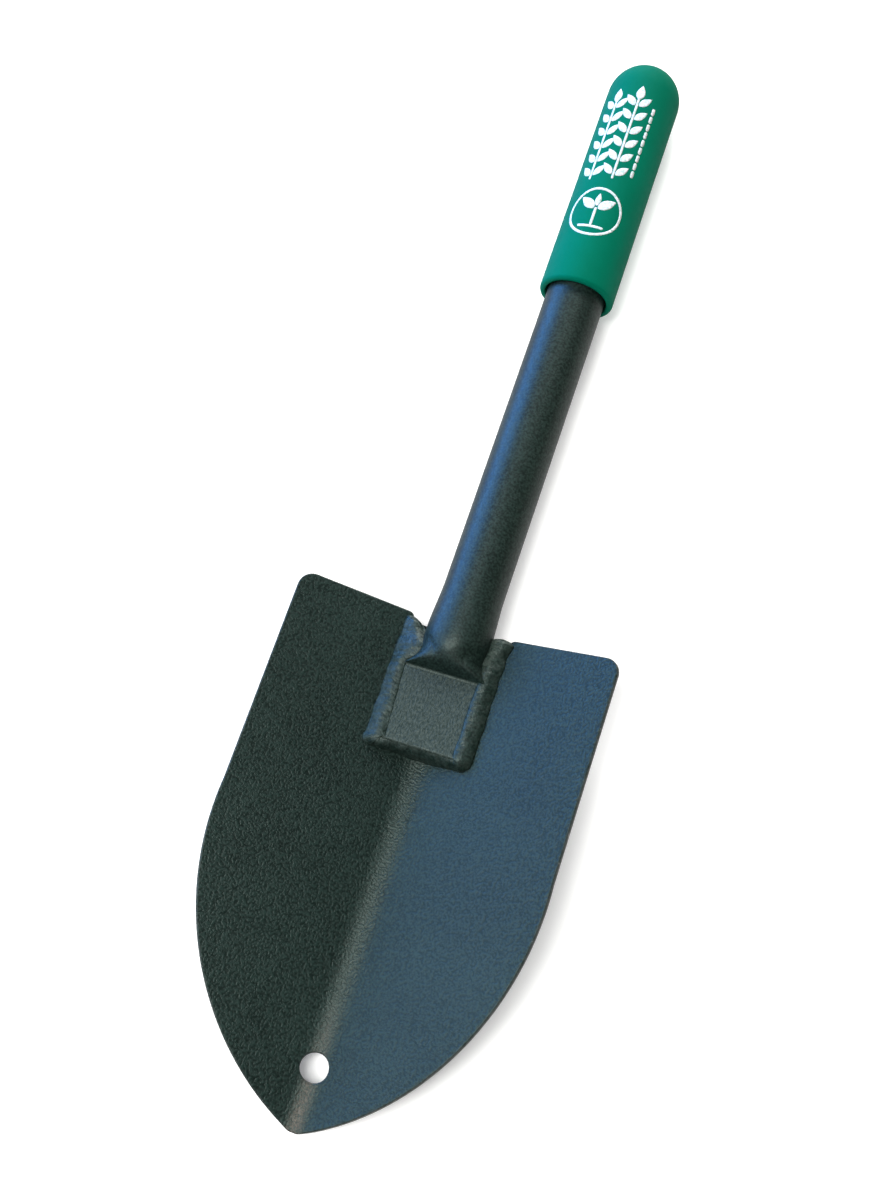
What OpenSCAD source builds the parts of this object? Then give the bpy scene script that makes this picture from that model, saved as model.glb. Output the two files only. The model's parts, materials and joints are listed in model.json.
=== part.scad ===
// Hand trowel: a folded steel blade, a tube handle that is pressed flat at its lower end and welded
// into the blade's valley, and a vinyl grip pushed over the tube's other end.
// +Y runs from the blade's tip to the grip, +X is to the right, +Z is up out of the valley.
// The origin is halfway along the tool, in the plane that the underside of the grip touches.

/* [Blade] */
// Width across the two straight sides
blade_w = 115; // [105:0.5:125]
// Length along the crease, from the tip to the top edge
blade_l = 177; // [170:0.5:190]
// Thickness of the steel plate
plate_t = 1.9; // [1.5:0.1:2.5]
// Rise of each wing from level, in degrees
fold_angle = 20.8; // [18:0.1:22]
// Radius of the fold, on the inside of the valley
fold_r = 16; // [15:0.5:20]
// Length of the straight part of each side, from the top edge down
side_l = 78; // [74:0.5:84]
// Radius of the curved part of each side, in the flat plate
side_r = 102; // [100:0.5:110]
// Width of the blunt tip
tip_w = 3.2; // [2:0.2:5]
// Radius of the two top corners
corner_r = 5.5; // [3:0.5:9]
// Width of the relief in the top edge, at the mouth of the tube's notch
relief_w = 35; // [32:1:38]
// Depth of the relief in the top edge
relief_d = 3; // [2:0.5:4]
// Clearance between the notch and the tube's belly
notch_gap = 0.2; // [0.1:0.1:0.5]

/* [Hanging hole] */
// Diameter of the hole
hole_d = 9.5; // [8:0.1:9.8]
// Distance of the hole from the tip
hole_y = 21; // [18:0.1:26]

/* [Handle tube] */
// Distance from the tip to the end of the grip
overall_l = 418; // [400:1:450]
// Outside diameter of the tube
tube_od = 22.2; // [21:0.1:23]
// Wall of the tube
tube_wall = 1.65; // [1.5:0.05:1.8]
// Distance from the tip to the end of the pressed tab
tab_y = 130; // [126:1:134]
// Length of the flat on the pressed tab
tab_l = 28; // [24:1:30]
// Length over which the flat opens out into the round tube
flare_l = 20; // [18:1:24]
// How abruptly the flare rises from the tab: 2 is gentle, 5 is steep
flare_power = 4; // [2:0.5:5]

/* [Grip] */
// Wall of the grip
grip_wall = 3.2; // [2.6:0.1:4]
// Length of the grip with its domed end
grip_l = 105.5; // [90:0.5:130]
// Clearance round the tube at the grip's mouth
mouth_gap = 0.9; // [0.5:0.1:1.2]
// Depth over which the mouth narrows to the tube
mouth_l = 7; // [4:0.5:12]
// Rounding of the mouth's outer edge
mouth_r = 1.4; // [0.6:0.1:1.6]

/* [Weld beads] */
// Radius of the side beads along the tab
bead_r = 3.6; // [3.2:0.1:4]
// Distance of the side beads from the middle
bead_x = 15.6; // [15:0.1:16.2]
// Radius of the side beads at their upper ends
bead_top_r = 4.8; // [4:0.1:5]
// Radius of the bead across the end of the tab
end_bead_r = 2.7; // [2.4:0.1:3]

/* [Hidden] */
$fn = 96;

steel = [0.17, 0.22, 0.24];
vinyl = [0.02, 0.5, 0.42];
weld_steel = [0.24, 0.27, 0.27];

// The wings' planes meet this far below the inside of the crease
fold_drop = fold_r * (1 / cos(fold_angle) - 1);
fold_x = fold_r * sin(fold_angle);
fold_z = fold_r * (1 - cos(fold_angle));
// Half the width and the position of the plate's outline, measured in a wing's own plane
wing_w = blade_w / 2 / cos(fold_angle);
wing_shift = -fold_drop * sin(fold_angle);
curve_l = blade_l - side_l;

tube_r = tube_od / 2;
mid_r = tube_r - tube_wall / 2;
// Half the width of the pressed tab, from the tube's unchanged perimeter
tab_half_w = half_width(tube_wall);
tab_end_y = tab_y + tab_l;
flare_end_y = tab_end_y + flare_l;

// Height of the handle's axis over the crease when the tab's edges rest on the wings
rest_gap = 0.05;
axis_z = (tube_wall + rest_gap) / cos(fold_angle) - fold_drop
    + (tab_half_w - tube_wall) * tan(fold_angle);

grip_r = tube_r + grip_wall;
dome_y = overall_l - grip_r;
mouth_y = overall_l - grip_l;
base_z = grip_r - axis_z;
// How far the pressed end runs on inside the round tube's wall, and the step down into it
seam_l = 1.5;
seam_step = 0.03;
// How far a cutting shape runs past what it cuts
cut = 1;

// Half the outer width of the tube's section once it is squeezed to half height h
function half_width(h) =
    let (m = h - tube_wall / 2) (PI * mid_r - (PI - 2) * m) / 2 + tube_wall / 2;

// Half the height of the flare, from the tab's (t = 0) to the round tube's (t = 1)
function flare_h(t) = tube_wall + (tube_r - tube_wall) * (1 - pow(1 - t, flare_power));

// Half the width at which a section of half height h meets the planes of the wings' upper faces
function belly_w(h) =
    let (c = half_width(h) - h, rise = axis_z + fold_drop, slope = tan(fold_angle),
        a = 1 + slope * slope, b = c + rise * slope)
    (b + sqrt(max(0, b * b - a * (c * c + rise * rise - h * h)))) / a;

// Steps from 0 to 1 along the flare, closer together where it is steep
function flare_steps(n) = [for (k = [0 : n]) pow(k / n, 1.5)];

// Places the tool's own coordinates (tip at Y = 0, inside of the crease at Z = 0) in the frame
module place() {
    translate([0, -overall_l / 2, base_z]) children();
}

// Runs a section drawn in X and Z along Y, from y0 to y1
module along_y(y0, y1) {
    translate([0, y1, 0]) rotate([90, 0, 0]) linear_extrude(y1 - y0) children();
}

// ---- Blade ----

// Section of the right half of the folded plate, drawn with the wing level and then tilted
module plate_section() {
    intersection() {
        translate([0, -plate_t - cut]) square([wing_w, wing_w]);
        translate([0, fold_r]) rotate(fold_angle) translate([0, -fold_r]) {
            translate([0, -plate_t]) square([wing_w, plate_t]);
            intersection() {
                translate([0, fold_r]) difference() {
                    circle(fold_r + plate_t);
                    circle(fold_r);
                }
                translate([-fold_r, -plate_t - cut]) square([fold_r, fold_r]);
            }
        }
    }
}

// Outline of the right half of the flat plate, with the tip at the origin
module half_outline() {
    tip = [tip_w / 2, 0];
    side = [wing_w, curve_l];
    chord = side - tip;
    middle = (tip + side) / 2;
    centre = middle + [-chord.y, chord.x] / norm(chord)
        * sqrt(side_r * side_r - norm(chord) * norm(chord) / 4);
    intersection() {
        translate([-10, 0]) square([wing_w + 20, curve_l]);
        union() {
            translate(centre) circle(side_r, $fn = 240);
            translate([-10, 0]) square([10 + tip_w / 2, curve_l]);
        }
    }
    difference() {
        translate([-10, curve_l]) square([wing_w + 10, side_l]);
        translate([wing_w - corner_r, blade_l - corner_r]) difference() {
            square(corner_r + cut);
            circle(corner_r);
        }
    }
}

module half_blade() {
    intersection() {
        along_y(-cut, blade_l + cut) plate_section();
        rotate([0, -fold_angle, 0]) translate([wing_shift, 0, -30]) linear_extrude(60)
            half_outline();
    }
}

// Notch in which the belly of the flare hangs below the plate's upper face
module notch() {
    side = [for (t = flare_steps(14))
        [belly_w(flare_h(t)) + notch_gap, tab_end_y - notch_gap + flare_l * t]];
    for (mirrored = [0, 1]) mirror([mirrored, 0])
        polygon(concat([[-cut, tab_end_y - notch_gap]], side,
            [[side[14].x, blade_l + cut], [-cut, blade_l + cut]]));
}

// Relief in the top edge, with rounded corners at its mouth
module relief() {
    entry_r = relief_d * 0.8;
    difference() {
        translate([-relief_w / 2 - entry_r, blade_l - relief_d])
            square([relief_w + 2 * entry_r, relief_d + cut]);
        for (side = [-1, 1]) translate([side * (relief_w / 2 + entry_r), 0]) {
            translate([0, blade_l - entry_r]) circle(entry_r);
            translate([-entry_r, blade_l - relief_d - cut])
                square([2 * entry_r, relief_d + cut - entry_r]);
        }
    }
}

module blade() {
    color(steel) place() difference() {
        union() {
            half_blade();
            mirror([1, 0, 0]) half_blade();
        }
        translate([0, 0, -30]) linear_extrude(60) {
            relief();
            notch();
        }
        translate([0, hole_y, -30]) cylinder(60, d = hole_d);
    }
}

// The space that the blade's upper faces bound from below, across the welded area
module below_valley() {
    reach = 32;
    along_y(tab_y - 12, flare_end_y) {
        difference() {
            polygon([[-reach, reach * tan(fold_angle) - fold_drop], [-fold_x, fold_z],
                [fold_x, fold_z], [reach, reach * tan(fold_angle) - fold_drop],
                [reach, -10], [-reach, -10]]);
            translate([0, fold_r]) circle(fold_r);
        }
    }
}

// ---- Handle tube ----

// Points round a section of half height h, stretched sideways to keep the tube's perimeter
function ring(h, inset, y) =
    let (w = half_width(h) - inset, r = h - inset)
    [for (a = [0 : 5 : 355])
        [r * cos(a) + (w - r) * max(-1, min(1, 6 * cos(a))), y, r * sin(a)]];

module skin(rings) {
    n = len(rings[0]);
    last = len(rings) - 1;
    polyhedron(
        points = [for (one = rings) each one],
        faces = [
            [for (i = [n - 1 : -1 : 0]) i],
            for (k = [0 : last - 1]) for (i = [0 : n - 1])
                let (j = (i + 1) % n)
                [k * n + j, (k + 1) * n + j, (k + 1) * n + i, k * n + i],
            [for (i = [0 : n - 1]) last * n + i]
        ]
    );
}

// The flare's rings, from t = first to where the round tube begins, inset from the tube's outside
function flare_rings(inset, first) =
    [for (step = flare_steps(14))
        let (t = first + (1 - first) * step)
        ring(flare_h(t), inset, tab_end_y + flare_l * t)];

// The outside of the pressed end, which runs on inside the round tube's wall
module pressed_form() {
    translate([0, 0, axis_z]) skin(concat(
        [ring(tube_wall, 0, tab_y)],
        flare_rings(seam_step, 0),
        [ring(tube_r, seam_step, flare_end_y + seam_l)]
    ));
}

// The hollow inside the pressed end, which closes where the flat begins
module pressed_hollow() {
    inset = tube_wall + 2 * seam_step;
    translate([0, 0, axis_z]) skin(concat(
        flare_rings(inset, 0.04),
        [ring(tube_r, inset, flare_end_y + seam_l + cut)]
    ));
}

module handle_tube() {
    end_y = dome_y - 0.5;
    color(steel) place() {
        difference() {
            pressed_form();
            pressed_hollow();
        }
        translate([0, 0, axis_z]) along_y(flare_end_y, end_y) difference() {
            circle(tube_r);
            circle(tube_r - tube_wall);
        }
    }
}

// ---- Grip ----

// Section of the grip to one side of its axis, with its mouth at the bottom
module grip_section() {
    straight = grip_l - grip_r;
    difference() {
        union() {
            square([grip_r, straight]);
            intersection() {
                translate([0, straight]) circle(grip_r);
                square([grip_r, grip_l]);
            }
        }
        square([tube_r, straight]);
        intersection() {
            translate([0, straight]) circle(tube_r);
            square([tube_r, grip_l]);
        }
        polygon([[0, -cut], [tube_r + mouth_gap, -cut], [tube_r + mouth_gap, 0],
            [tube_r, mouth_l], [0, mouth_l]]);
        translate([grip_r - mouth_r, mouth_r]) difference() {
            translate([0, -mouth_r - cut]) square([mouth_r + cut, mouth_r + cut]);
            circle(mouth_r);
        }
    }
}

module grip() {
    color(vinyl) place() translate([0, mouth_y, axis_z]) rotate([-90, 0, 0])
        rotate_extrude() grip_section();
}

// ---- Weld beads ----

module bead_ball(x, y, z, r) {
    translate([x, y, z]) sphere(r, $fn = 32);
}

// The right-hand bead before it is fitted to the tab and the wing
module side_bead_form() {
    low_y = tab_y + 1.6;
    high_y = tab_end_y - 2;
    z = axis_z - 0.8;
    hull() {
        bead_ball(bead_x, low_y, z, bead_r);
        bead_ball(bead_x, high_y, z, bead_r);
    }
    hull() {
        bead_ball(bead_x, high_y, z, bead_r);
        bead_ball(bead_x - 1.3, tab_end_y + 14, z + 0.2, bead_top_r);
    }
}

module side_bead() {
    difference() {
        side_bead_form();
        pressed_form();
        below_valley();
    }
}

module weld_right() {
    color(weld_steel) place() side_bead();
}

module weld_left() {
    color(weld_steel) place() mirror([1, 0, 0]) side_bead();
}

// Fills the mouth of the tab down into the crease, between the two side beads
module weld_end() {
    y = tab_y + 0.2;
    color(weld_steel) place() difference() {
        hull() {
            for (x = [-bead_x, bead_x]) bead_ball(x, y, axis_z - 1.2, end_bead_r);
            bead_ball(0, y, 0.8, end_bead_r * 0.75);
        }
        pressed_form();
        below_valley();
        side_bead_form();
        mirror([1, 0, 0]) side_bead_form();
    }
}

blade();
handle_tube();
grip();
weld_left();
weld_right();
weld_end();
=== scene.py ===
import json
from math import asin, atan2, cos, exp, pi, radians, sin, sqrt, tan

import bmesh
import bpy
from mathutils import Euler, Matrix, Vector, noise
from mathutils.geometry import delaunay_2d_cdt


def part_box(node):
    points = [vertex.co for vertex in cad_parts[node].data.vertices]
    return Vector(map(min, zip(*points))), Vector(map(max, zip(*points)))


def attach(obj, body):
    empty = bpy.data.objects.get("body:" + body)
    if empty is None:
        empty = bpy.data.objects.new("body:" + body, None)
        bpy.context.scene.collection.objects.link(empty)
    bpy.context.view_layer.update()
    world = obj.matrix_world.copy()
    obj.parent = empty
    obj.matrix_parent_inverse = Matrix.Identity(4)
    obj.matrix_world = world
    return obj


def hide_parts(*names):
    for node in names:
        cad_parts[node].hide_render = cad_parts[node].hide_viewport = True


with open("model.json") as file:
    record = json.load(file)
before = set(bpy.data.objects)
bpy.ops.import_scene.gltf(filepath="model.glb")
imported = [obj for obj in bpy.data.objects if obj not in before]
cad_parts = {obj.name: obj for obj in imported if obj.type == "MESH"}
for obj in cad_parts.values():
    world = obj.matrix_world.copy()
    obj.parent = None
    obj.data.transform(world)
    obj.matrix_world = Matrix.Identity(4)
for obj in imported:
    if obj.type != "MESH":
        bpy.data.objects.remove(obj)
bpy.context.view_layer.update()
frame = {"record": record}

MM = 0.001

# ---- Sizes that the frame doesn't state, in metres and radians ----
PLATE_T = 1.9 * MM
FOLD_ANGLE = radians(20.8)
FOLD_R = 16 * MM
SIDE_L = 78 * MM
SIDE_R = 102 * MM
CORNER_R = 5.5 * MM
TIP_HALF = 1.6 * MM
RELIEF_HALF = 17.5 * MM
RELIEF_D = 3 * MM
RELIEF_R = 2.4 * MM
NOTCH_GAP = 0.2 * MM
TUBE_WALL = 1.65 * MM
TAB_L = 28 * MM
FLARE_L = 20 * MM
FLARE_POWER = 5
SPREAD = 0.8 * MM        # how much wider the tube still is where its flare has closed
MOUTH_GAP = 0.9 * MM
MOUTH_L = 7 * MM
MOUTH_R = 1.4 * MM
EDGE_R = 0.45 * MM
EDGE_BAND = 0.4 * MM

# ---- Places taken from the frame ----
blade_lo, blade_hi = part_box("blade")
tube_lo, tube_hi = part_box("handle_tube")
grip_lo, grip_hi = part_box("grip")
TIP_Y = blade_lo.y
BLADE_L = blade_hi.y - blade_lo.y
CREASE_Z = blade_lo.z + PLATE_T
HALF_W = blade_hi.x - PLATE_T * sin(FOLD_ANGLE)
TUBE_R = (tube_hi.z - tube_lo.z) / 2
AXIS_Z = (tube_hi.z + tube_lo.z) / 2
TAB_Y = tube_lo.y
TAB_TOP_Y = TAB_Y + TAB_L
FLARE_TOP_Y = TAB_TOP_Y + FLARE_L
GRIP_R = (grip_hi.x - grip_lo.x) / 2
MOUTH_Y = grip_lo.y
GRIP_END_Y = grip_hi.y
DOME_Y = GRIP_END_Y - GRIP_R
mounts = {m["name"]: m for m in frame["record"]["mounts"]}
HOLE_R = mounts["hanging_hole"]["dims"]["r_mm"] * MM
HOLE_Y = mounts["hanging_hole"]["pos_m"][1]

# ---- Sizes that follow from those ----
ARC_S = FOLD_R * FOLD_ANGLE                      # the fold's half length along the plate's upper face
ARC_U = FOLD_R * tan(FOLD_ANGLE)                 # the same to where the wings' planes meet
FOLD_DROP = FOLD_R * (1 / cos(FOLD_ANGLE) - 1)
WING_W = HALF_W / cos(FOLD_ANGLE)
CURVE_L = BLADE_L - SIDE_L
TAB_FACE_Z = AXIS_Z + TUBE_WALL


def smooth(x, low=0.0, high=1.0):
    """0 below low, 1 above high, and a smooth step between them."""
    t = min(max((x - low) / (high - low), 0), 1)
    return t * t * (3 - 2 * t)


def bumps(point, size, seed=0.0):
    """Smooth noise from about -1 to 1 whose bumps are about size across."""
    return noise.noise(Vector(point) / size + Vector((seed, seed * 1.7, seed * 0.6)))


# ---- Mesh helpers ----
def add_piece(name, points, faces, material, stands_for=(), edge=None):
    """Makes a closed piece that rides on the body. edge is each point's share of edge wear."""
    mesh = bpy.data.meshes.new(name)
    mesh.from_pydata([tuple(p) for p in points], [], faces)
    if edge is not None:
        layer = mesh.attributes.new("edge", "FLOAT", "POINT")
        layer.data.foreach_set("value", edge)
    work = bmesh.new()
    work.from_mesh(mesh)
    bmesh.ops.recalc_face_normals(work, faces=work.faces)
    work.to_mesh(mesh)
    work.free()
    for face in mesh.polygons:
        face.use_smooth = True
    mesh.materials.append(material)
    piece = bpy.data.objects.new(name, mesh)
    bpy.context.scene.collection.objects.link(piece)
    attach(piece, "root")
    if stands_for:
        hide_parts(*stands_for)
    return piece


def bridge(faces, first, second, count):
    """Adds the quads between two closed rings of count points that start at first and second."""
    for i in range(count):
        j = (i + 1) % count
        faces.append((first + i, first + j, second + j, second + i))


def loft(rings):
    """Points and faces of a solid through rings of equal length, closed at both ends."""
    count = len(rings[0])
    points = [p for ring in rings for p in ring]
    faces = [tuple(range(count)), tuple(range((len(rings) - 1) * count, len(rings) * count))]
    for k in range(len(rings) - 1):
        bridge(faces, k * count, (k + 1) * count, count)
    return points, faces


def arc(centre, radius, start, end, steps):
    """Points from the start angle to the end angle, both included."""
    turn = (end - start) / steps
    angles = [start + turn * k for k in range(steps + 1)]
    return [Vector((centre[0] + radius * cos(a), centre[1] + radius * sin(a))) for a in angles]


def line(start, end, step):
    """Points from start towards end about step apart, without the end."""
    start, end = Vector(start), Vector(end)
    count = max(1, round((end - start).length / step))
    return [start.lerp(end, k / count) for k in range(count)]


def inset(loop, amount):
    """A closed loop moved to its left by amount, which is inward on an anticlockwise loop."""
    moved = []
    for i, point in enumerate(loop):
        a = (point - loop[i - 1]).normalized()
        b = (loop[(i + 1) % len(loop)] - point).normalized()
        both = Vector((-a.y - b.y, a.x + b.x))
        moved.append(point + both * (amount / max(1 + a.dot(b), 0.4)))
    return moved


def inside(point, loop):
    """Whether a line from the point towards +X crosses the loop an odd number of times."""
    hit = False
    for i, b in enumerate(loop):
        a = loop[i - 1]
        if (a.y > point.y) != (b.y > point.y):
            if point.x < (b.x - a.x) * (point.y - a.y) / (b.y - a.y) + a.x:
                hit = not hit
    return hit


def fill(outer, holes, grid, margin):
    """Triangles between an anticlockwise loop and its clockwise holes, through the grid's points inside.
    Returns the flat points, the loops' first and the grid's after them, and the triangles."""
    keep_in = inset(outer, margin)
    keep_out = [inset(hole, margin) for hole in holes]
    points = list(outer)
    edges = [(i, (i + 1) % len(outer)) for i in range(len(outer))]
    for hole in holes:
        start = len(points)
        points += hole
        edges += [(start + i, start + (i + 1) % len(hole)) for i in range(len(hole))]
    points += [p for p in grid if inside(p, keep_in) and not any(inside(p, hole) for hole in keep_out)]
    found, _, triangles, origin, _, _ = delaunay_2d_cdt(points, edges, [], 0, 1e-9)
    source = [ids[0] for ids in origin]
    kept = []
    for triangle in triangles:
        middle = sum((found[i] for i in triangle), Vector((0, 0))) / 3
        if inside(middle, outer) and not any(inside(middle, hole) for hole in holes):
            kept.append(tuple(source[i] for i in triangle))
    return points, kept


# ---- The tube's pressed end: its section keeps the tube's perimeter ----
FLAT_STEPS = 28
ROUND_STEPS = 24
SECTION = 2 * (FLAT_STEPS + ROUND_STEPS)
ROUND_BY = 0.6           # the share of the flare after which the section is an ellipse
DENT_H, DENT_SIZE = 0.07 * MM, 2.6 * MM
SCORE_H, SCORE_SIZE = 0.05 * MM, 1.1 * MM
FLARE_RINGS = 26
TUBE_RINGS = 18
NEAR_FLARE = 14 * MM     # the length above the flare with rings close together


def half_width(h):
    """Half the outside width of a pressed section of half height h."""
    middle = h - TUBE_WALL / 2
    return (pi * (TUBE_R - TUBE_WALL / 2) - (pi - 2) * middle) / 2 + TUBE_WALL / 2


def flare_h(t):
    """Half the height of the section at a share of the flare's length."""
    t = min(max(t, 0), 1)
    return TUBE_WALL + (TUBE_R - TUBE_WALL) * (1 - (1 - t) ** FLARE_POWER)


def stadium_point(h, w, index):
    """A point of a flat-sided section; index 0 is the middle of its top, and it runs towards +X."""
    flat = w - h
    index = index % SECTION
    if index <= FLAT_STEPS / 2:
        return flat * index / (FLAT_STEPS / 2), h
    if index <= FLAT_STEPS / 2 + ROUND_STEPS:
        angle = pi / 2 - pi * (index - FLAT_STEPS / 2) / ROUND_STEPS
        return flat + h * cos(angle), h * sin(angle)
    x, z = stadium_point(h, w, SECTION / 2 - index)
    return (x, -z) if index <= SECTION / 2 else (-x, z)


def section_point(t, index):
    """A point of the tube's outside in X and Z, from the tab (t = 0) to the round tube (t = 1)."""
    h = flare_h(t)
    index = index % SECTION
    mirrored = index > SECTION / 2
    if mirrored:
        index = SECTION - index
    lower = index > SECTION / 4
    if lower:
        index = SECTION / 2 - index
    x, z = stadium_point(h, half_width(h), index)
    angle = pi / 2 * (1 - index / (SECTION / 4))
    share = smooth(t, 0.0, ROUND_BY)
    x += (TUBE_R * cos(angle) - x) * share
    z += (TUBE_R * sin(angle) * h / TUBE_R - z) * share
    return (-x if mirrored else x), AXIS_Z + (-z if lower else z)


def tube_ring(y):
    """The tube's section at y, with the press's dents in its flat end."""
    t = (y - TAB_TOP_Y) / FLARE_L
    ring = []
    for index in range(SECTION):
        x, z = section_point(t, index)
        pressed = 1 - smooth(t, 0.0, 0.5)
        dent = DENT_H * bumps((x, y, z), DENT_SIZE) + SCORE_H * bumps((x, y * 0.25, z), SCORE_SIZE, 3)
        sign = 1 if z > AXIS_Z else -1
        spread = SPREAD * smooth(t, 0.2, 0.6) * (1 - smooth(t, 0.75, 1.65))
        ring.append(Vector((x * (1 + spread / TUBE_R), y, z + sign * dent * pressed)))
    return ring


def add_tube(material):
    """The tube from its tab to just inside the grip's dome, with a press line at the flare's foot."""
    last = DOME_Y - 0.5 * MM
    press = 0.22 * MM
    ys = [TAB_Y + 0.15 * MM + 1 * MM * k for k in range(28)]
    ys += [TAB_TOP_Y - press]
    shares = [(k / FLARE_RINGS) ** 1.6 for k in range(FLARE_RINGS + 1)]
    ys += [TAB_TOP_Y + FLARE_L * (0.012 + 0.988 * share) for share in shares]
    ys += [FLARE_TOP_Y + 2 * MM * k for k in range(1, 8)]
    rest = last - FLARE_TOP_Y - NEAR_FLARE
    ys += [FLARE_TOP_Y + NEAR_FLARE + rest * k / TUBE_RINGS for k in range(1, TUBE_RINGS + 1)]
    points, faces = loft([tube_ring(y) for y in ys])
    return add_piece("tube_body", points, faces, material, ["handle_tube"])


# ---- Blade ----
SIDE_STEPS = 64
HOLE_STEPS = 56
NOTCH_STEPS = 14
WAVE_H, WAVE_SIZE = 0.10 * MM, 42 * MM
FLUTTER_H, FLUTTER_SIZE = 0.02 * MM, 9 * MM
ROW_STEP = 2.6 * MM
FOLD_COLUMNS, FOLD_STEP = 11, 0.7 * MM               # each side of the crease, where the plate bends
WING_COLUMNS, WING_STEP, WING_FROM = 17, 3.2, 8.6    # in mm, over each flat wing


def bend(s, y, depth):
    """The point of the folded plate s along its upper face from the crease and depth below that face."""
    side = 1 if s >= 0 else -1
    angle = min(abs(s) / FOLD_R, FOLD_ANGLE)
    past = max(abs(s) - ARC_S, 0)
    depth -= WAVE_H * bumps((s, y, 0), WAVE_SIZE) + FLUTTER_H * bumps((s, y, 0), FLUTTER_SIZE, 5)
    x = FOLD_R * sin(angle) + past * cos(FOLD_ANGLE) + depth * sin(angle)
    z = FOLD_R * (1 - cos(angle)) + past * sin(FOLD_ANGLE) - depth * cos(angle)
    return Vector((side * x, y, CREASE_Z + z))


def developed(u):
    """A distance from the meeting of the wings' planes, as one along the upper face."""
    return u - (ARC_U - ARC_S) if u > ARC_U else u * ARC_S / ARC_U


def along_face(x):
    """A distance from the middle in plan, as one along the upper face."""
    fold_x = FOLD_R * sin(FOLD_ANGLE)
    if abs(x) <= fold_x:
        return FOLD_R * asin(x / FOLD_R)
    return (ARC_S + (abs(x) - fold_x) / cos(FOLD_ANGLE)) * (1 if x > 0 else -1)


def belly_w(h):
    """Half the width at which a section of half height h meets the wings' upper faces."""
    centre = half_width(h) - h
    rise = AXIS_Z - CREASE_Z + FOLD_DROP
    slope = tan(FOLD_ANGLE)
    a = 1 + slope * slope
    b = centre + rise * slope
    return (b + sqrt(max(0, b * b - a * (centre * centre + rise * rise - h * h)))) / a


def notch_s(t):
    """How far along the upper face the notch's edge lies from the crease, at a share of the flare."""
    return along_face(belly_w(flare_h(t)) + NOTCH_GAP)


def half_outline():
    """The right half of the flat plate's outline, anticlockwise from the tip."""
    tip = Vector((TIP_HALF, 0))
    side = Vector((WING_W, CURVE_L))
    chord = side - tip
    across = Vector((-chord.y, chord.x)).normalized()
    centre = (tip + side) / 2 + across * sqrt(SIDE_R ** 2 - chord.length_squared / 4)
    start = atan2(tip.y - centre.y, tip.x - centre.x)
    end = atan2(side.y - centre.y, side.x - centre.x)
    curve = arc(centre, SIDE_R, start, end, SIDE_STEPS)
    first = curve[0]
    near = first.lerp(Vector((0, 0)), 0.3)
    blunt = near.lerp(first, 0.75) + Vector((0, 0.05 * MM))
    outline = [near, blunt, first.lerp(curve[1], 0.25)] + curve[1:-1]
    outline += line(side, (WING_W, BLADE_L - CORNER_R), 3 * MM)
    outline += arc((WING_W - CORNER_R, BLADE_L - CORNER_R), CORNER_R, 0, pi / 2, 10)[:-1]
    entry = RELIEF_HALF / cos(FOLD_ANGLE) + RELIEF_R
    outline += line((WING_W - CORNER_R, BLADE_L), (entry, BLADE_L), 3 * MM)
    outline += arc((entry, BLADE_L - RELIEF_R), RELIEF_R, pi / 2, pi, 6)
    points = [Vector((developed(p.x), TIP_Y + p.y)) for p in outline]
    floor_y = TIP_Y + BLADE_L - RELIEF_D
    top_t = (floor_y - TAB_TOP_Y) / FLARE_L
    points += line((points[-1].x, floor_y), (notch_s(top_t), floor_y), 2 * MM)
    for k in range(NOTCH_STEPS, -1, -1):
        t = top_t * (k / NOTCH_STEPS) ** 1.5
        points.append(Vector((notch_s(t), TAB_TOP_Y - NOTCH_GAP + FLARE_L * t)))
    return points + line(points[-1], (0, points[-1].y), 2 * MM)[1:]


def edge_profile():
    """Steps over the plate's edge: how far in from it, how far below the upper face, and the wear."""
    over = [(EDGE_R + EDGE_BAND, 0, 0.0)]
    for degrees in (0, 25, 50, 70, 90):
        a = radians(degrees)
        over.append((EDGE_R * (1 - sin(a)), EDGE_R * (1 - cos(a)), 0.35 + 0.65 * sin(a)))
    return over + [(inward, PLATE_T - depth, wear) for inward, depth, wear in reversed(over)]


def add_blade(material):
    """The folded plate: its outline is filled flat, bent, and joined over a rounded edge to its back."""
    right = half_outline()
    left = [Vector((-p.x, p.y)) for p in reversed(right)]
    outline = right + [Vector((0, right[-1].y))] + left + [Vector((0, TIP_Y))]
    circle = arc((0, HOLE_Y), HOLE_R, 2 * pi, 0, HOLE_STEPS)[:-1]
    hole = [Vector((along_face(p.x), p.y)) for p in circle]
    columns = [FOLD_STEP * k for k in range(-FOLD_COLUMNS, FOLD_COLUMNS + 1)]
    columns += [side * (WING_FROM + WING_STEP * k) * MM for k in range(WING_COLUMNS) for side in (-1, 1)]
    rows = [TIP_Y + ROW_STEP * k for k in range(1, round(BLADE_L / ROW_STEP))]
    grid = [Vector((s, y)) for s in columns for y in rows]
    profile = edge_profile()
    flat, triangles = fill(inset(outline, profile[0][0]), [inset(hole, profile[0][0])], grid, 0.7 * MM)
    points = [bend(p.x, p.y, 0) for p in flat]
    wear = [0.0] * len(points)
    lower = len(points)
    points += [bend(p.x, p.y, PLATE_T) for p in flat]
    wear += [0.0] * len(flat)
    faces = triangles + [tuple(lower + i for i in triangle) for triangle in triangles]
    for loop, first in ((outline, 0), (hole, len(outline))):
        before = first
        for inward, depth, share in profile[1:-1]:
            start = len(points)
            points += [bend(p.x, p.y, depth) for p in inset(loop, inward)]
            wear += [share] * len(loop)
            bridge(faces, before, start, len(loop))
            before = start
        bridge(faces, before, lower + first, len(loop))
    return add_piece("blade_plate", points, faces, material, ["blade"], wear)


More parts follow.
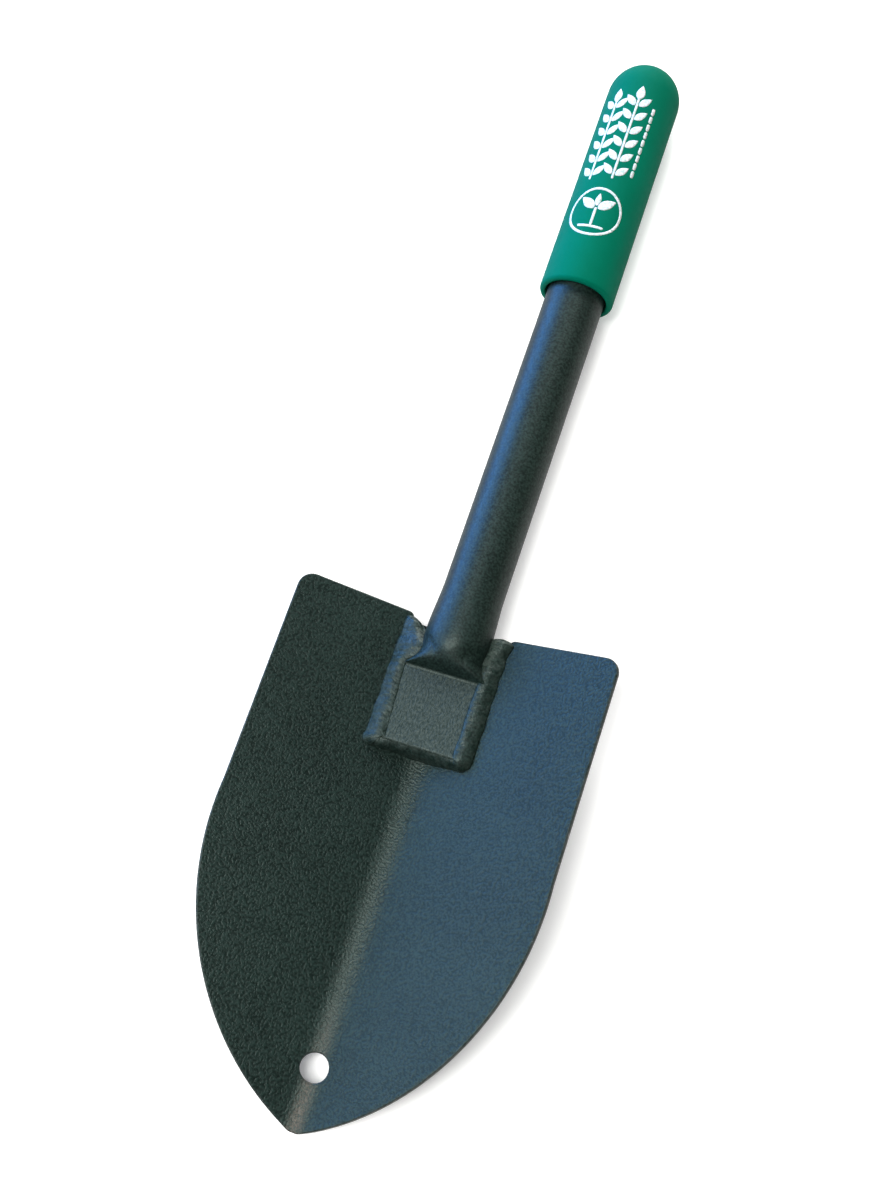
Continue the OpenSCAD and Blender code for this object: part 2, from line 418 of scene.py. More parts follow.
# ---- Weld beads: a rounded fillet between a toe on the tube and a toe on the blade ----
# A pair for the sides is by side: -1 is the left bead and 1 the right one.
BEAD_STEPS = 14
RING_STEP = 0.4 * MM
SINK = 0.05 * MM                             # how far the inner toe lies below the tab's face
TOE_SINK = 0.03 * MM                         # and the outer toe below the blade's
SIDE_WRAP, SIDE_TURNS = 0.75, 12             # the share of the corner that a side bead goes round
END_FROM, END_TURNS = 0.55, 8                # and the one from which the end bead starts
END_SINK = 0.12 * MM                         # how far the end bead lies inside a side bead
RIPPLE = 0.05 * MM                           # the ripples that the arc leaves, their length and their lag
RIPPLE_L = 2.1 * MM
RIPPLE_LAG = 1.3 * MM
LUMP_H, LUMP_SIZE = 0.36 * MM, 5.0 * MM
PIMPLE_H, PIMPLE_SIZE = 0.12 * MM, 2.0 * MM
END_BULGE = 1.25 * MM
CORNER_AT = {-1: 1.0 * MM, 1: 2.4 * MM}      # radius of the path round the tab's corners
SQUARENESS = {-1: 0.34, 1: 0.16}             # how far the outer toe reaches into a corner
SIDE_TOES = {-1: (13.5 * MM, 20.5 * MM), 1: (11.5 * MM, 18.7 * MM)}
TOE_LEAN = {-1: 0.9 * MM, 1: 0.0}            # how much further out the inner toe is at the press line
TOP_WIDER = {-1: -0.2 * MM, 1: 1.2 * MM}     # how much further out the outer toe is at the top
TOP_SLANT = {-1: 5.2 * MM, 1: 0.6 * MM}      # how much higher the outer toe ends than the inner one
CLIMB = {-1: 2.8 * MM, 1: 0.3 * MM}          # how far the inner toe climbs the flare's flank
END_TOES = (1.0 * MM, 2.7 * MM)
BULGE = {-1: 0.95 * MM, 1: 1.45 * MM}
BEAD_TOP_Y = {-1: 174.3 * MM + TIP_Y, 1: 176.2 * MM + TIP_Y}
# Pits and lumps in the side beads: place in X and from the tip in Y, radius and height
BLEMISHES = [(-12.4 * MM, 171.6 * MM, 1.5 * MM, -1.0 * MM), (-16.6 * MM, 173.4 * MM, 1.7 * MM, 0.55 * MM),
             (16.6 * MM, 174.2 * MM, 2.2 * MM, 0.45 * MM), (14.6 * MM, 166.5 * MM, 2.0 * MM, -0.35 * MM)]


def wing_z(x):
    """The height of the blade's upper face."""
    if abs(x) < FOLD_R * sin(FOLD_ANGLE):
        return CREASE_Z + FOLD_R - sqrt(FOLD_R ** 2 - x * x)
    return CREASE_Z + abs(x) * tan(FOLD_ANGLE) - FOLD_DROP


def flank_x(y, z):
    """How far out the tube's surface lies at that height."""
    t = (y - TAB_TOP_Y) / FLARE_L
    h = flare_h(t)
    level = min(abs(z - AXIS_Z) / h, 1)
    pressed = half_width(h) - h + h * sqrt(1 - level * level)
    return pressed + (TUBE_R * sqrt(1 - level * level) - pressed) * smooth(t, 0.0, ROUND_BY)


def blemish(point):
    """How far the pits and lumps raise a bead there."""
    return sum(height * exp(-(((point.x - x) ** 2 + (point.y - TIP_Y - y) ** 2) / radius ** 2))
               for x, y, radius, height in BLEMISHES)


def bead_ring(inner, outer, outward, bulge, place, seed, under, shrink=1.0):
    """One section of a bead, from its inner toe over its crown to its outer toe, and back underneath."""
    chord = outer - inner
    up = Vector((0, 0, 1))
    normal = (up * chord.dot(outward) - outward * chord.dot(up)).normalized()
    middle = (inner + outer) / 2
    ring = []
    power = 1.05 - 0.12 * max(-1, min(1, middle.x / (8 * MM)))
    for k in range(BEAD_STEPS + 1):
        u = k / BEAD_STEPS
        point = inner + chord * u
        crown = sin(pi * u ** 0.8) ** power
        lag = RIPPLE_LAG * sin(pi * u)
        beat = place - lag + 0.9 * MM * bumps((place, 0, 0), 6 * MM, seed + 1)
        ripple = RIPPLE * sin(2 * pi * beat / RIPPLE_L)
        lumps = LUMP_H * bumps(point, LUMP_SIZE, seed) + PIMPLE_H * bumps(point, PIMPLE_SIZE, seed + 4)
        rough = (ripple + lumps + blemish(point)) * min(1, 1.6 * crown)
        ring.append(point + normal * (bulge * crown + rough))
    ring.append(outer - outward * (0.9 * MM) - up * (0.8 * MM))
    ring.append(Vector((inner.x + outward.x * 0.5 * MM, inner.y + outward.y * 0.5 * MM, under)))
    return [middle + (p - middle) * shrink for p in ring]


def path_x(side):
    """How far from the middle the path down that side's bead lies."""
    return sum(SIDE_TOES[side]) / 2


def tab_toe(side, y):
    """How far from the middle the inner toe of that side's bead lies on the tab."""
    lean = TOE_LEAN[side] * (2 * (y - TAB_Y) / TAB_L - 1)
    return SIDE_TOES[side][0] + lean + 0.25 * MM * bumps((0, y, 0), 6 * MM, 22 + side)


def corner_ring(side, turn, place, seed, sink=0.0):
    """A section at an angle round the tab's corner: 0 is the side's direction, pi/2 the end's."""
    outward = Vector((side * cos(turn), -sin(turn), 0))
    centre = Vector((side * (path_x(side) - CORNER_AT[side]), TAB_Y + CORNER_AT[side], 0))
    across = tab_toe(side, centre.y) - abs(centre.x)
    along = CORNER_AT[side] - END_TOES[0]
    inner = centre + Vector((side * across * max(0, cos(turn)) ** 0.5, -along * sin(turn) ** 0.5, 0))
    side_reach = SIDE_TOES[side][1] - path_x(side)
    reach = side_reach + (END_TOES[1] - side_reach) * smooth(turn / (pi / 2))
    reach *= 1 + SQUARENESS[side] * sin(2 * turn)
    return reach_ring(inner, centre + outward * CORNER_AT[side], outward, reach, place, seed, sink)


def reach_ring(inner, path, outward, reach, place, seed, sink):
    """One section from an inner toe on the tab to an outer toe that far beyond the path."""
    outer = path + outward * (reach + 0.35 * MM * bumps(path, 4 * MM, seed + 9))
    inner.z = TAB_FACE_Z - SINK
    outer.z = wing_z(outer.x) - TOE_SINK
    bulge = BULGE[1 if path.x > 0 else -1] * abs(outward.x) + END_BULGE * (1 - abs(outward.x)) - sink
    return bead_ring(inner, outer, outward, bulge, place, seed, inner.z - 1.1 * MM)


def add_side_bead(name, node, side, material):
    """A bead that comes down beside the flare and the tab, and turns round the tab's corner."""
    seed = 20 + side
    rings = []
    outward = Vector((side, 0, 0))
    top = BEAD_TOP_Y[side]
    low = TAB_Y + CORNER_AT[side]
    count = round((top - low) / RING_STEP)
    toe_x = SIDE_TOES[side][1]
    for k in range(count + 1):
        y = top + (low - top) * k / count
        from_top = top - y
        rise = smooth(y, TAB_TOP_Y - 1 * MM, top)
        on_tab = tab_toe(side, y)
        toe = toe_x + 0.4 * MM * bumps((0, y, 0), 4.5 * MM, seed + 9)
        toe += TOP_WIDER[side] * smooth(-from_top, -7 * MM, -1 * MM)
        slant = TOP_SLANT[side] * smooth(-from_top, -8 * MM, 0) / 2
        height = TAB_FACE_Z - SINK - 0.9 * MM * rise + CLIMB[side] * sin(pi * rise ** 0.8)
        reach = min(on_tab, flank_x(y - slant, height) - 0.4 * MM) if y > TAB_TOP_Y else on_tab
        inner = Vector((side * reach, y - slant, height))
        outer = Vector((side * toe, y + slant, wing_z(toe) - TOE_SINK))
        under = (TAB_FACE_Z - 1.2 * MM) * (1 - rise) + (wing_z(inner.x) - 0.6 * MM) * rise
        shrink = sqrt(max(0.04, 1 - (1 - min(1, from_top / (2.2 * MM))) ** 2))
        rings.append(bead_ring(inner, outer, outward, BULGE[side], y, seed, under, shrink))
    for k in range(1, SIDE_TURNS + 1):
        turn = pi / 2 * SIDE_WRAP * k / SIDE_TURNS
        rings.append(corner_ring(side, turn, low - CORNER_AT[side] * turn, seed))
    points, faces = loft(rings)
    return add_piece(name, points, faces, material, [node])


def add_end_bead(material):
    """The bead along the tab's end, from inside one side bead to inside the other."""
    seed = 31
    down = Vector((0, -1, 0))
    turns = [pi / 2 * (END_FROM + (1 - END_FROM) * k / END_TURNS) for k in range(END_TURNS + 1)]
    rings = [corner_ring(-1, turn, k * RING_STEP, seed, END_SINK) for k, turn in enumerate(turns)]
    start = CORNER_AT[-1] - path_x(-1)
    end = path_x(1) - CORNER_AT[1]
    count = round((end - start) / RING_STEP)
    for k in range(1, count):
        x = start + (end - start) * k / count
        path = Vector((x, TAB_Y, 0))
        inner = path - down * END_TOES[0]
        rings.append(reach_ring(inner, path, down, END_TOES[1], x, seed, 0.1 * MM))
    for k, turn in enumerate(reversed(turns)):
        rings.append(corner_ring(1, turn, k * RING_STEP, seed, END_SINK))
    points, faces = loft(rings)
    return add_piece("bead_end", points, faces, material, ["weld_end"])


# ---- Grip ----
GRIP_STEPS = 144
MOUTH_POINTS = 8         # the profile's points in the mouth, which stay round


def grip_skin(angle, y):
    """How far the grip's outside stands off its nominal radius."""
    around = (sin(angle), cos(angle), y / (60 * MM))
    fade = 1 - smooth(y, DOME_Y, GRIP_END_Y)
    return (0.06 * MM * bumps(around, 0.8, 2) + 0.025 * MM * bumps(around, 0.22, 6)) * fade


def grip_profile():
    """Radius and Y up the outside from the mouth to the dome's top, then down the inside,
    and how many of them come before the inside."""
    lip = 0.45 * MM
    bore = TUBE_R + 0.01 * MM
    inner = TUBE_R + MOUTH_GAP
    profile = [(bore, MOUTH_Y + MOUTH_L)]
    profile += [tuple(p) for p in line((bore, MOUTH_Y + MOUTH_L), (inner, MOUTH_Y + lip), 1.2 * MM)[1:]]
    profile += [tuple(p) for p in arc((inner + lip, MOUTH_Y + lip), lip, pi, 1.5 * pi, 4)]
    profile += [tuple(p) for p in arc((GRIP_R - MOUTH_R, MOUTH_Y + MOUTH_R), MOUTH_R, -pi / 2, 0, 8)]
    profile += [tuple(p) for p in line((GRIP_R, MOUTH_Y + MOUTH_R), (GRIP_R, DOME_Y), 2 * MM)[1:]]
    profile += [tuple(p) for p in arc((0, DOME_Y), GRIP_R, 0, pi / 2, 24)[:-1]]
    outside = len(profile)
    profile += [tuple(p) for p in reversed(arc((0, DOME_Y), TUBE_R, 0, pi / 2, 8)[:-1])]
    profile += [(bore, DOME_Y - 40 * MM)]
    return profile, outside


def add_grip(material):
    """The dipped sleeve: its profile turned round the tube's axis, with a domed end."""
    profile, outside = grip_profile()
    points = []
    for k, (radius, y) in enumerate(profile):
        uneven = MOUTH_POINTS < k < outside
        for i in range(GRIP_STEPS):
            angle = 2 * pi * i / GRIP_STEPS
            r = radius + (grip_skin(angle, y) if uneven else 0)
            points.append(Vector((r * sin(angle), y, AXIS_Z + r * cos(angle))))
    faces = []
    for k in range(len(profile) - 1):
        if k != outside - 1:
            bridge(faces, k * GRIP_STEPS, (k + 1) * GRIP_STEPS, GRIP_STEPS)
    bridge(faces, (len(profile) - 1) * GRIP_STEPS, 0, GRIP_STEPS)
    for ring, top in ((outside - 1, GRIP_END_Y), (outside, DOME_Y + TUBE_R)):
        apex = len(points)
        points.append(Vector((0, top, AXIS_Z)))
        for i in range(GRIP_STEPS):
            faces.append((ring * GRIP_STEPS + i, ring * GRIP_STEPS + (i + 1) % GRIP_STEPS, apex))
    return add_piece("grip_sleeve", points, faces, material, ["grip"])


# ---- Print on the grip: two leafy sprigs, a row of dashes and a sprout in a ring ----
INK_T = 0.06 * MM
SPRIG_LOW, SPRIG_HIGH = TIP_Y + 357 * MM, TIP_Y + 400 * MM
SPRIG_PAIRS = 6
DASHES, DASH_STEP, DASH_L = 9, 3.6 * MM, 1.8 * MM
DASH_LOW = TIP_Y + 361.5 * MM
RING_R, RING_WIDTH, RING_STEPS = 10.6 * MM, 1.0 * MM, 72
RING_Y = TIP_Y + 342.3 * MM


def on_grip(u, v, lift):
    """The point u round the grip and v along it, lifted off its skin."""
    angle = u / GRIP_R
    r = GRIP_R + grip_skin(angle, v) + lift
    return Vector((r * sin(angle), v, AXIS_Z + r * cos(angle)))


def leaf(base, angle, length, width):
    """A pointed leaf that grows from base at an angle from the grip's axis."""
    along = Vector((sin(angle), cos(angle)))
    across = Vector((cos(angle), -sin(angle)))
    steps = 14
    loop = []
    for side, places in ((1, range(steps)), (-1, range(steps, 0, -1))):
        for k in places:
            half = width / 2 * sin(pi * (k / steps) ** 0.8) ** 0.9
            loop.append(base + along * (length * k / steps) + across * (side * half))
    return loop


def bar(start, end, width):
    """A bar with rounded ends."""
    start, end = Vector(start), Vector(end)
    heading = atan2(end.y - start.y, end.x - start.x)
    r = width / 2
    aside = Vector((sin(heading), -cos(heading))) * r
    loop = line(start + aside, end + aside, 1 * MM)
    loop += arc(end, r, heading - pi / 2, heading + pi / 2, 6)
    loop += line(end - aside, start - aside, 1 * MM)[1:]
    return loop + arc(start, r, heading + pi / 2, heading + 1.5 * pi, 6)[:-1]


def area(loop):
    """The area inside a flat loop, above 0 when it is anticlockwise."""
    return sum(loop[i - 1].x * p.y - p.x * loop[i - 1].y for i, p in enumerate(loop)) / 2


def add_ink(points, faces, outer, holes=()):
    """Adds one inked shape to the print: a thin closed patch that follows the grip."""
    outer = outer if area(outer) > 0 else outer[::-1]
    low = Vector((min(p.x for p in outer), min(p.y for p in outer)))
    high = Vector((max(p.x for p in outer), max(p.y for p in outer)))
    step = 0.8 * MM
    grid = [Vector((low.x + step * (i + 0.5), low.y + step * (j + 0.5)))
            for i in range(int((high.x - low.x) / step)) for j in range(int((high.y - low.y) / step))]
    flat, triangles = fill(outer, holes, grid, 0.22 * MM)
    first = len(points)
    second = first + len(flat)
    points += [on_grip(p.x, p.y, INK_T) for p in flat]
    points += [on_grip(p.x, p.y, -INK_T) for p in flat]
    faces += [tuple(first + i for i in t) for t in triangles]
    faces += [tuple(second + i for i in t) for t in triangles]
    start = 0
    for loop in (outer, *holes):
        bridge(faces, first + start, second + start, len(loop))
        start += len(loop)


def add_sprig(points, faces, u, low, high):
    """A stem with a leaf on its end and pairs of leaves down its length."""
    add_ink(points, faces, bar((u, low), (u, high - 5.4 * MM), 0.9 * MM))
    add_ink(points, faces, leaf(Vector((u, high - 5.8 * MM)), 0, 6.4 * MM, 3.4 * MM))
    for k in range(SPRIG_PAIRS):
        v = low + 1.4 * MM + (high - low - 10 * MM) * k / (SPRIG_PAIRS - 1)
        for side in (-1, 1):
            base = Vector((u + side * 0.75 * MM, v))
            add_ink(points, faces, leaf(base, side * radians(42), 6.2 * MM, 2.9 * MM))


def add_sprout(points, faces, centre):
    """A seedling with three leaves on a line of soil, in a ring."""
    outer = arc(centre, RING_R, 0, 2 * pi, RING_STEPS)[:-1]
    add_ink(points, faces, outer, [arc(centre, RING_R - RING_WIDTH, 2 * pi, 0, RING_STEPS)[:-1]])
    add_ink(points, faces, bar(centre + Vector((0, -5.6 * MM)), centre + Vector((0, 1.2 * MM)), 1.0 * MM))
    for side in (-1, 1):
        base = centre + Vector((side * 0.7 * MM, 1.3 * MM))
        add_ink(points, faces, leaf(base, side * radians(52), 7.6 * MM, 3.8 * MM))
    add_ink(points, faces, leaf(centre + Vector((0, 2.3 * MM)), 0, 5.6 * MM, 2.3 * MM))
    soil = [centre + Vector((side * 4.6 * MM, -6.6 * MM)) for side in (-1, 1)]
    add_ink(points, faces, bar(*soil, 1.0 * MM))


def add_print(material):
    """All of the print as one piece of thin inked patches."""
    points, faces = [], []
    add_sprig(points, faces, -8.0 * MM, SPRIG_LOW, SPRIG_HIGH - 1.5 * MM)
    add_sprig(points, faces, 0.9 * MM, SPRIG_LOW + 1 * MM, SPRIG_HIGH)
    for k in range(DASHES):
        low = DASH_LOW + DASH_STEP * k
        add_ink(points, faces, bar((7.8 * MM, low), (7.8 * MM, low + DASH_L), 1.3 * MM))
    add_sprout(points, faces, Vector((-1.2 * MM, RING_Y)))
    return add_piece("grip_print", points, faces, material)


# ---- Materials ----
class Nodes:
    """Short ways to build a material's nodes."""

    def __init__(self, name):
        self.material = bpy.data.materials.new(name)
        self.material.use_nodes = True
        self.tree = self.material.node_tree
        self.shader = self.tree.nodes["Principled BSDF"]
        self.place = self.add("ShaderNodeTexCoord").outputs["Object"]

    def add(self, kind, **settings):
        node = self.tree.nodes.new(kind)
        for key, value in settings.items():
            setattr(node, key, value)
        return node

    def link(self, source, target):
        self.tree.links.new(source, target)

    def axis(self, name):
        """The place along X, Y or Z, in metres."""
        split = self.add("ShaderNodeSeparateXYZ")
        self.link(self.place, split.inputs["Vector"])
        return split.outputs[name]

    def noise(self, size, detail=2.0, rough=0.5, stretch=(1, 1, 1)):
        """Noise whose grains are about size across, from 0 to 1."""
        where = self.add("ShaderNodeMapping")
        where.inputs["Scale"].default_value = [s / size for s in stretch]
        self.link(self.place, where.inputs["Vector"])
        texture = self.add("ShaderNodeTexNoise")
        texture.inputs["Scale"].default_value = 1
        texture.inputs["Detail"].default_value = detail
        texture.inputs["Roughness"].default_value = rough
        self.link(where.outputs["Vector"], texture.inputs["Vector"])
        return texture.outputs["Fac"]

    def spread(self, source, low, high, from_low=0.3, from_high=0.7):
        """Takes from_low to low and from_high to high, and stays between them."""
        node = self.add("ShaderNodeMapRange")
        ends = {"From Min": from_low, "From Max": from_high, "To Min": low, "To Max": high}
        for name, value in ends.items():
            node.inputs[name].default_value = value
        self.link(source, node.inputs["Value"])
        return node.outputs["Result"]

    def sum(self, a, b, operation="ADD"):
        """A sum, or what another operation gives, of two sockets or numbers."""
        node = self.add("ShaderNodeMath", operation=operation)
        for socket, value in zip(node.inputs, (a, b)):
            if isinstance(value, (int, float)):
                socket.default_value = value
            else:
                self.link(value, socket)
        return node.outputs["Value"]

    def mix(self, share, a, b):
        node = self.add("ShaderNodeMix", data_type="RGBA")
        self.link(share, node.inputs["Factor"])
        for socket, value in ((node.inputs[6], a), (node.inputs[7], b)):
            if isinstance(value, tuple):
                socket.default_value = (*value, 1)
            else:
                self.link(value, socket)
        return node.outputs[2]

    def bump(self, height, distance, strength=1.0, under=None):
        node = self.add("ShaderNodeBump")
        node.inputs["Distance"].default_value = distance
        node.inputs["Strength"].default_value = strength
        self.link(height, node.inputs["Height"])
        if under is not None:
            self.link(under, node.inputs["Normal"])
        return node.outputs["Normal"]

    def finish(self, colour, roughness, normal, specular):
        """Links the shader up and returns the material."""
        self.link(colour, self.shader.inputs["Base Color"])
        self.link(roughness, self.shader.inputs["Roughness"])
        self.link(normal, self.shader.inputs["Normal"])
        self.shader.inputs["Specular IOR Level"].default_value = specular
        return self.material


# ---- Finishes: one dark textured coat over blade, tube and beads, vinyl and ink ----
COAT_DARK = (0.0004, 0.0030, 0.0021)
COAT_LIGHT = (0.0108, 0.0215, 0.0173)
COAT_GLOSS = (0.84, 1.0, 0.93, 1)
COAT_RIM = (0.040, 0.044, 0.041)
# painted highlight: a warm light colour put along the crease near the tip
CREASE_HIGHLIGHT = (0.062, 0.042, 0.030)
STEEL = (0.30, 0.29, 0.27)
TAB_DARK = (0.001, 0.006, 0.004)
TAB_LIGHT = (0.033, 0.043, 0.035)
WELD_LIGHT = (0.027, 0.037, 0.032)
VINYL_DARK = (0.0, 0.092, 0.052)
VINYL_LIGHT = (0.0, 0.113, 0.066)
VINYL_GLOSS = (0.12, 1.0, 0.85, 1)
INK_THIN = (0.28, 0.42, 0.37)
INK_FULL = (0.61, 0.55, 0.58)
HIGHLIGHT_HALF = 3.6 * MM        # how far the painted highlight along the crease reaches to each side
HIGHLIGHT_L = 46 * MM            # and from the tip


def coat_colour(n):
    """Fine speckle over slow clouds, as a textured powder coat has."""
    n.shader.inputs["Specular Tint"].default_value = COAT_GLOSS
    speckle = n.spread(n.noise(0.8 * MM, 2, 0.5), 0, 1, 0.38, 0.62)
    clouds = n.spread(n.noise(26 * MM, 3), 0, 1, 0.25, 0.75)
    share = n.sum(n.sum(speckle, 0.75, "MULTIPLY"), n.sum(clouds, 0.25, "MULTIPLY"))
    return n.mix(share, COAT_DARK, COAT_LIGHT), speckle


def coat_normal(n, speckle, depth):
    """The speckle's grain, depth deep, over a slow orange peel."""
    orange_peel = n.bump(n.noise(3.2 * MM, 2), 0.05 * MM, 0.55)
    return n.bump(speckle, depth, 0.8, orange_peel)


def blade_coat():
    """The coat, thinner and chipped along the plate's edges, and with a painted warm highlight along the
    crease near the tip, broken into scuff-like patches.
    """
    n = Nodes("blade_coat")
    colour, speckle = coat_colour(n)
    edge = n.add("ShaderNodeAttribute", attribute_name="edge").outputs["Fac"]
    patchy = n.spread(n.noise(4.5 * MM, 4, 0.65), 0.15, 1)
    worn = n.sum(edge, patchy, "MULTIPLY")
    colour = n.mix(n.spread(worn, 0, 0.7, 0.1, 0.8), colour, COAT_RIM)
    chips = n.sum(edge, n.spread(n.noise(1.6 * MM, 3, 0.6), 0, 1, 0.63, 0.7), "MULTIPLY")
    colour = n.mix(n.spread(chips, 0, 0.55, 0.45, 0.75), colour, STEEL)
    # Painted highlight: a lighter warm colour along the crease near the tip, broken into scuff-like
    # patches
    near_fold = n.spread(n.sum(n.axis("X"), 0, "ABSOLUTE"), 1, 0, 0.3 * MM, HIGHLIGHT_HALF)
    near_tip = n.spread(n.axis("Y"), 1, 0, TIP_Y + 4 * MM, TIP_Y + HIGHLIGHT_L)
    highlight_patches = n.spread(n.noise(0.6 * MM, 3, 0.6), 0.1, 1, 0.38, 0.60)
    painted_highlight = n.sum(n.sum(near_fold, near_tip, "MULTIPLY"), highlight_patches, "MULTIPLY")
    colour = n.mix(painted_highlight, colour, CREASE_HIGHLIGHT)
    roughness = n.spread(n.noise(1.3 * MM, 2), 0.29, 0.41)
    return n.finish(colour, roughness, coat_normal(n, speckle, 0.09 * MM), 0.24)


def tube_coat():
    """The coat, smoother than the blade's, and rubbed in fine lines where the press flattened the tube."""
    n = Nodes("tube_coat")
    colour, speckle = coat_colour(n)
    streaks = n.noise(0.55 * MM, 3, 0.65, (1, 0.35, 1))
    pressed = n.spread(n.axis("Y"), 1, 0, TAB_TOP_Y - 0.3 * MM, TAB_TOP_Y + 0.3 * MM)
    rubbed = n.mix(n.spread(streaks, 0, 1, 0.40, 0.62), TAB_DARK, TAB_LIGHT)
    colour = n.mix(n.sum(pressed, 0.8, "MULTIPLY"), colour, rubbed)
    roughness = n.spread(n.noise(1.5 * MM, 2), 0.37, 0.49)
    normal = coat_normal(n, speckle, 0.022 * MM)
    lines = n.sum(pressed, streaks, "MULTIPLY")
    return n.finish(colour, roughness, n.bump(lines, 0.16 * MM, 0.9, normal), 0.28)


def weld_coat():
    """The coat over spatter."""
    n = Nodes("weld_coat")
    colour, speckle = coat_colour(n)
    spatter = n.spread(n.noise(2.4 * MM, 4, 0.62), 0, 1, 0.42, 0.68)
    colour = n.mix(n.sum(spatter, 0.55, "MULTIPLY"), colour, WELD_LIGHT)
    roughness = n.spread(n.noise(1.8 * MM, 3), 0.34, 0.5)
    normal = coat_normal(n, speckle, 0.05 * MM)
    return n.finish(colour, roughness, n.bump(spatter, 0.12 * MM, 0.8, normal), 0.28)


def grip_vinyl():
    """Soft vinyl with fine pores and slow clouds."""
    n = Nodes("grip_vinyl")
    clouds = n.spread(n.noise(18 * MM, 3), 0, 1, 0.25, 0.75)
    pores = n.spread(n.noise(0.55 * MM, 3, 0.6), 0, 1)
    share = n.sum(n.sum(clouds, 0.6, "MULTIPLY"), n.sum(pores, 0.4, "MULTIPLY"))
    colour = n.mix(share, VINYL_DARK, VINYL_LIGHT)
    roughness = n.spread(n.noise(2.2 * MM, 3), 0.56, 0.68)
    soft = n.bump(n.noise(5 * MM, 2), 0.06 * MM, 0.5)
    normal = n.bump(pores, 0.018 * MM, 0.6, soft)
    n.shader.inputs["Specular Tint"].default_value = VINYL_GLOSS
    return n.finish(colour, roughness, normal, 0.035)


def print_ink():
    """Pale ink that lets some green through where it is thin."""
    n = Nodes("print_ink")
    coverage = n.spread(n.noise(0.9 * MM, 4, 0.65), 0, 1, 0.34, 0.60)
    colour = n.mix(coverage, INK_THIN, INK_FULL)
    roughness = n.spread(n.noise(1.0 * MM, 2), 0.45, 0.6)
    return n.finish(colour, roughness, n.bump(coverage, 0.02 * MM, 0.6), 0.3)


# ---- Camera, floor and light ----
CAMERA_AT = (0.09007, -0.1636, 0.48894)
CAMERA_TURN = (18.906, 6.315, 18.727)    # in degrees
CAMERA_LENS = 42.64                      # in mm, on a 36 mm sensor
FLOOR_HALF = 1.6
FLOOR_Z = -0.2 * MM
FLOOR_PALE = 0.88
FLOOR_MIRRORED = 0.40                    # how pale the floor is where something mirrors it
FLOOR_GLOW = 0.24
SKY_LIGHT = 0.13
SKY_SEEN = 0.85
COOL = (0.43, 0.66, 1.0)
BLUE = (0.125, 0.37, 1.0)
DEEP_BLUE = (0.10, 0.34, 1.0)
# Name, place, aim, width and height, watts, colour, and whether it lights only the tool
LAMPS = (
    ("left_box", (-1.1, -0.10, 0.80), (0, -0.05, 0), (1.0, 0.8), 11.3, COOL, True),
    ("left_back", (-1.1, 0.72, 0.70), (0, 0.05, 0), (0.7, 0.8), 21.5, BLUE, True),
    ("left_low", (-1.3, 0.25, 0.24), (0, 0.05, 0.02), (1.6, 0.4), 27, DEEP_BLUE, True),
    ("top_box", (-0.36, -0.42, 1.6), (0, -0.1, 0), (0.6, 1.2), 34, (1.0, 1.0, 0.97), False),
    ("back_box", (0.0, 1.75, 0.93), (0, 0, 0), (1.8, 0.8), 58, (1.0, 0.99, 0.98), False),
    ("front_box", (0.1, -1.6, 1.1), (0, 0, 0), (1.8, 0.8), 7, (1.0, 0.99, 0.98), False),
)


def add_camera():
    data = bpy.data.cameras.new("camera")
    data.sensor_width = 36
    data.lens = CAMERA_LENS
    cam = bpy.data.objects.new("camera", data)
    cam.location = CAMERA_AT
    cam.rotation_euler = Euler([radians(a) for a in CAMERA_TURN])
    bpy.context.scene.collection.objects.link(cam)
    bpy.context.scene.camera = cam


def by_ray(tree, ray, value, otherwise, socket):
    """Sets a socket to value for one kind of ray, and to otherwise for every other kind."""
    path = tree.nodes.new("ShaderNodeLightPath")
    switch = tree.nodes.new("ShaderNodeMapRange")
    switch.inputs["To Min"].default_value = otherwise
    switch.inputs["To Max"].default_value = value
    tree.links.new(path.outputs[ray], switch.inputs["Value"])
    tree.links.new(switch.outputs["Result"], socket)


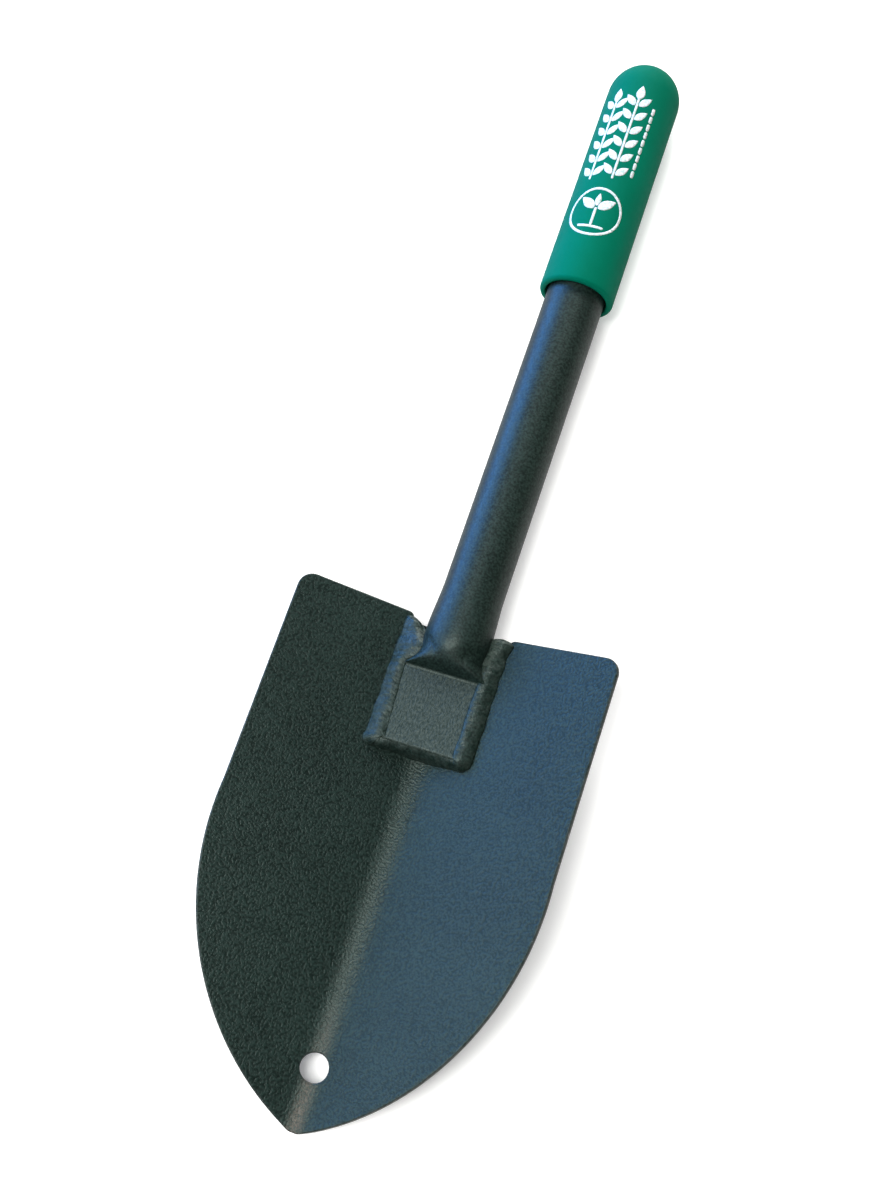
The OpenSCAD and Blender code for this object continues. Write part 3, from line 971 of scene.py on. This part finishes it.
def add_floor():
    """A pale floor that glows a little, so that the tool's shadow stays faint."""
    mesh = bpy.data.meshes.new("floor")
    corners = [(x * FLOOR_HALF, y * FLOOR_HALF, FLOOR_Z) for x, y in ((-1, -1), (1, -1), (1, 1), (-1, 1))]
    mesh.from_pydata(corners, [], [(0, 1, 2, 3)])
    floor = bpy.data.objects.new("floor", mesh)
    bpy.context.scene.collection.objects.link(floor)
    material = bpy.data.materials.new("floor")
    material.use_nodes = True
    shader = material.node_tree.nodes["Principled BSDF"]
    by_ray(material.node_tree, "Is Glossy Ray", FLOOR_MIRRORED, FLOOR_PALE, shader.inputs["Base Color"])
    shader.inputs["Roughness"].default_value = 0.9
    shader.inputs["Specular IOR Level"].default_value = 0.1
    shader.inputs["Emission Color"].default_value = (1, 1, 1, 1)
    shader.inputs["Emission Strength"].default_value = FLOOR_GLOW
    mesh.materials.append(material)


def add_sky():
    """A plain world that lights the scene a little and looks pale behind the floor."""
    world = bpy.data.worlds.new("studio")
    bpy.context.scene.world = world
    world.use_nodes = True
    background = world.node_tree.nodes["Background"]
    background.inputs["Color"].default_value = (1, 1, 1, 1)
    by_ray(world.node_tree, "Is Camera Ray", SKY_SEEN, SKY_LIGHT, background.inputs["Strength"])


def add_lamps(pieces):
    """Area lights. The blue ones are the window that the coat mirrors, and leave the floor neutral."""
    tool = bpy.data.collections.new("tool")
    for piece in pieces:
        tool.objects.link(piece)
    for name, place, aim, size, power, colour, tool_only in LAMPS:
        data = bpy.data.lights.new(name, "AREA")
        data.shape = "RECTANGLE"
        data.size, data.size_y = size
        data.energy = power
        data.color = colour
        lamp = bpy.data.objects.new(name, data)
        lamp.location = place
        lamp.rotation_euler = (Vector(aim) - Vector(place)).to_track_quat("-Z", "Y").to_euler()
        lamp.visible_camera = False
        if tool_only:
            lamp.light_linking.receiver_collection = tool
        bpy.context.scene.collection.objects.link(lamp)


bpy.context.scene.view_settings.view_transform = "Standard"
add_camera()
add_floor()
add_sky()

weld = weld_coat()
add_lamps([
    add_blade(blade_coat()),
    add_tube(tube_coat()),
    add_side_bead("bead_left", "weld_left", -1, weld),
    add_side_bead("bead_right", "weld_right", 1, weld),
    add_end_bead(weld),
    add_grip(grip_vinyl()),
    add_print(print_ink()),
])
